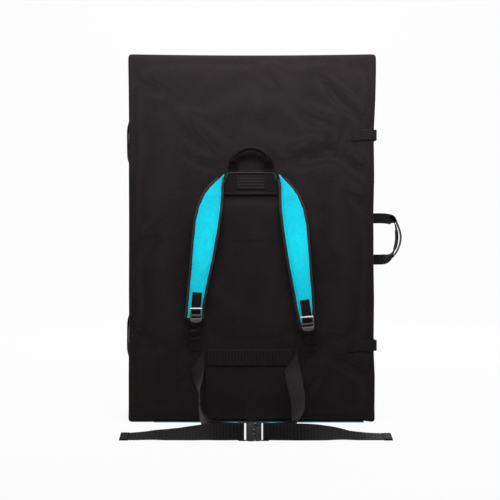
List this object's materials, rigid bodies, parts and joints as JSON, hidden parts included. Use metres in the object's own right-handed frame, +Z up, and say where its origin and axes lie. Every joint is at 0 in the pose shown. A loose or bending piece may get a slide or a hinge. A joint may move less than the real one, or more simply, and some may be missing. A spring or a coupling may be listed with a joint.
{
  "type": "folding bouldering crash pad",
  "caption": "Folding foam landing pad for bouldering, standing closed, with padded shoulder straps, hip belt, closure straps and carrying handles.",
  "frame": {"origin": "on the floor, under the middle of the rear cushion's bottom wall", "axes": "+X to the right across the pad as its harness is seen from the front, +Y from the harness to the back, +Z up along the pad's long side"},
  "size_m": [0.6574, 0.4109, 0.8898],
  "materials": {
    "black_cover_cloth": "coated pack cloth",
    "teal_cloth": "coated pack cloth",
    "cyan_strap_cloth": "stretch cloth",
    "black_webbing": "woven webbing",
    "grey_webbing": "woven webbing",
    "black_mesh": "spacer mesh",
    "grey_binding": "binding tape",
    "closed_cell_foam": "closed-cell foam",
    "open_cell_foam": "open-cell foam",
    "black_plastic": "moulded acetal",
    "grey_plastic": "moulded nylon",
    "dark_aluminium": "anodised"
  },
  "bodies": {
    "harness_half": {"harness_half_cover": "black_cover_cloth", "harness_half_landing_cloth": "teal_cloth", "harness_half_landing_foam": "closed_cell_foam", "harness_half_core_foam": "open_cell_foam", "harness_half_base_foam": "closed_cell_foam", "spine_hinge_cloth": "black_cover_cloth", "upper_spine_handle": "black_webbing", "lower_spine_handle": "black_webbing", "yoke_panel": "black_cover_cloth", "left_yoke_webbing": "black_webbing", "right_yoke_webbing": "black_webbing", "yoke_crossband": "black_webbing", "yoke_binding": "black_webbing", "yoke_piping": "grey_binding", "lumbar_panel": "black_cover_cloth", "lumbar_band": "black_webbing", "bottom_tab_patch": "black_cover_cloth", "bottom_tab_webbing": "black_webbing", "upper_closure_patch": "black_cover_cloth", "lower_closure_patch": "black_cover_cloth", "upper_closure_webbing": "black_webbing", "lower_closure_webbing": "black_webbing"},
    "far_half": {"far_half_cover": "black_cover_cloth", "far_half_landing_cloth": "teal_cloth", "far_half_landing_foam": "closed_cell_foam", "far_half_core_foam": "open_cell_foam", "far_half_base_foam": "closed_cell_foam", "back_tab": "black_webbing", "upper_closure_keeper": "black_webbing", "lower_closure_keeper": "black_webbing"},
    "bottom_flap": {"bottom_flap": "teal_cloth"},
    "grab_handle": {"grab_handle": "black_webbing"},
    "carry_handle": {"carry_handle_webbing": "black_webbing", "carry_handle_outer_layer": "black_webbing", "carry_handle_grip": "black_cover_cloth"},
    "upper_closure": {"upper_closure_strap": "black_webbing", "upper_closure_hook": "dark_aluminium"},
    "lower_closure": {"lower_closure_strap": "black_webbing", "lower_closure_hook": "dark_aluminium"},
    "left_strap": {"left_strap_mesh": "black_mesh", "left_strap_foam": "closed_cell_foam", "left_strap_cloth": "cyan_strap_cloth", "left_strap_binding": "grey_binding", "left_lock_keeper": "black_webbing", "left_lower_webbing": "black_webbing"},
    "right_strap": {"right_strap_mesh": "black_mesh", "right_strap_foam": "closed_cell_foam", "right_strap_cloth": "cyan_strap_cloth", "right_strap_binding": "grey_binding", "right_lock_keeper": "black_webbing", "right_lower_webbing": "black_webbing"},
    "left_lock": {"left_ladder_lock": "grey_plastic"},
    "right_lock": {"right_ladder_lock": "grey_plastic"},
    "hip_belt": {"left_belt_wing": "grey_webbing", "right_belt_wing": "grey_webbing", "buckle_socket": "black_plastic", "left_belt_tail": "black_webbing"},
    "belt_plug": {"buckle_plug": "black_plastic", "right_belt_tail": "black_webbing"}
  },
  "joints": [
    {"name": "fold_hinge", "type": "hinge", "parent": "harness_half", "child": "far_half", "pos_m": [-0.3025, -0.0455, 0], "axis": [0, 0, 1], "range_deg": [0, 180], "deforming": ["spine_hinge_cloth"]},
    {"name": "bottom_flap_hinge", "type": "hinge", "parent": "far_half", "child": "bottom_flap", "pos_m": [0, -0.0455, 0], "axis": [1, 0, 0], "range_deg": [0, 180]},
    {"name": "grab_handle_flip", "type": "hinge", "parent": "harness_half", "child": "grab_handle", "pos_m": [-0.0035, -0.144, 0.609], "axis": [1, 0, 0], "range_deg": [0, 135]},
    {"name": "carry_handle_swing", "type": "hinge", "parent": "harness_half", "child": "carry_handle", "pos_m": [0.2954, -0.091, 0.443], "axis": [0, 0, 1], "range_deg": [-65, 65]},
    {"name": "upper_closure_swing", "type": "hinge", "parent": "harness_half", "child": "upper_closure", "pos_m": [0.29649, -0.125, 0.694], "axis": [0, 0, 1], "range_deg": [-120, 0]},
    {"name": "lower_closure_swing", "type": "hinge", "parent": "harness_half", "child": "lower_closure", "pos_m": [0.29657, -0.125, 0.185], "axis": [0, 0, 1], "range_deg": [-120, 0]},
    {"name": "left_strap_swing", "type": "hinge", "parent": "harness_half", "child": "left_strap", "pos_m": [-0.068, -0.1485, 0.597], "axis": [-1, 0, 0], "range_deg": [0, 35], "deforming": ["left_lower_webbing"]},
    {"name": "right_strap_swing", "type": "hinge", "parent": "harness_half", "child": "right_strap", "pos_m": [0.068, -0.1485, 0.597], "axis": [-1, 0, 0], "range_deg": [0, 35], "deforming": ["right_lower_webbing"]},
    {"name": "left_lock_tilt", "type": "hinge", "parent": "left_strap", "child": "left_lock", "pos_m": [-0.13707, -0.16184, 0.27801], "axis": [-1, 0, 0], "range_deg": [0, 35]},
    {"name": "right_lock_tilt", "type": "hinge", "parent": "right_strap", "child": "right_lock", "pos_m": [0.1322, -0.16174, 0.25197], "axis": [-1, 0, 0], "range_deg": [0, 35]},
    {"name": "hip_belt_lift", "type": "hinge", "parent": "harness_half", "child": "hip_belt", "pos_m": [0.0044, -0.1394, 0.15], "axis": [1, 0, 0], "range_deg": [-90, 0], "deforming": ["left_belt_wing", "right_belt_wing"]},
    {"name": "buckle_release", "type": "slide", "parent": "hip_belt", "child": "belt_plug", "axis": [1, 0, 0], "range_m": [0, 0.045]}
  ]
}
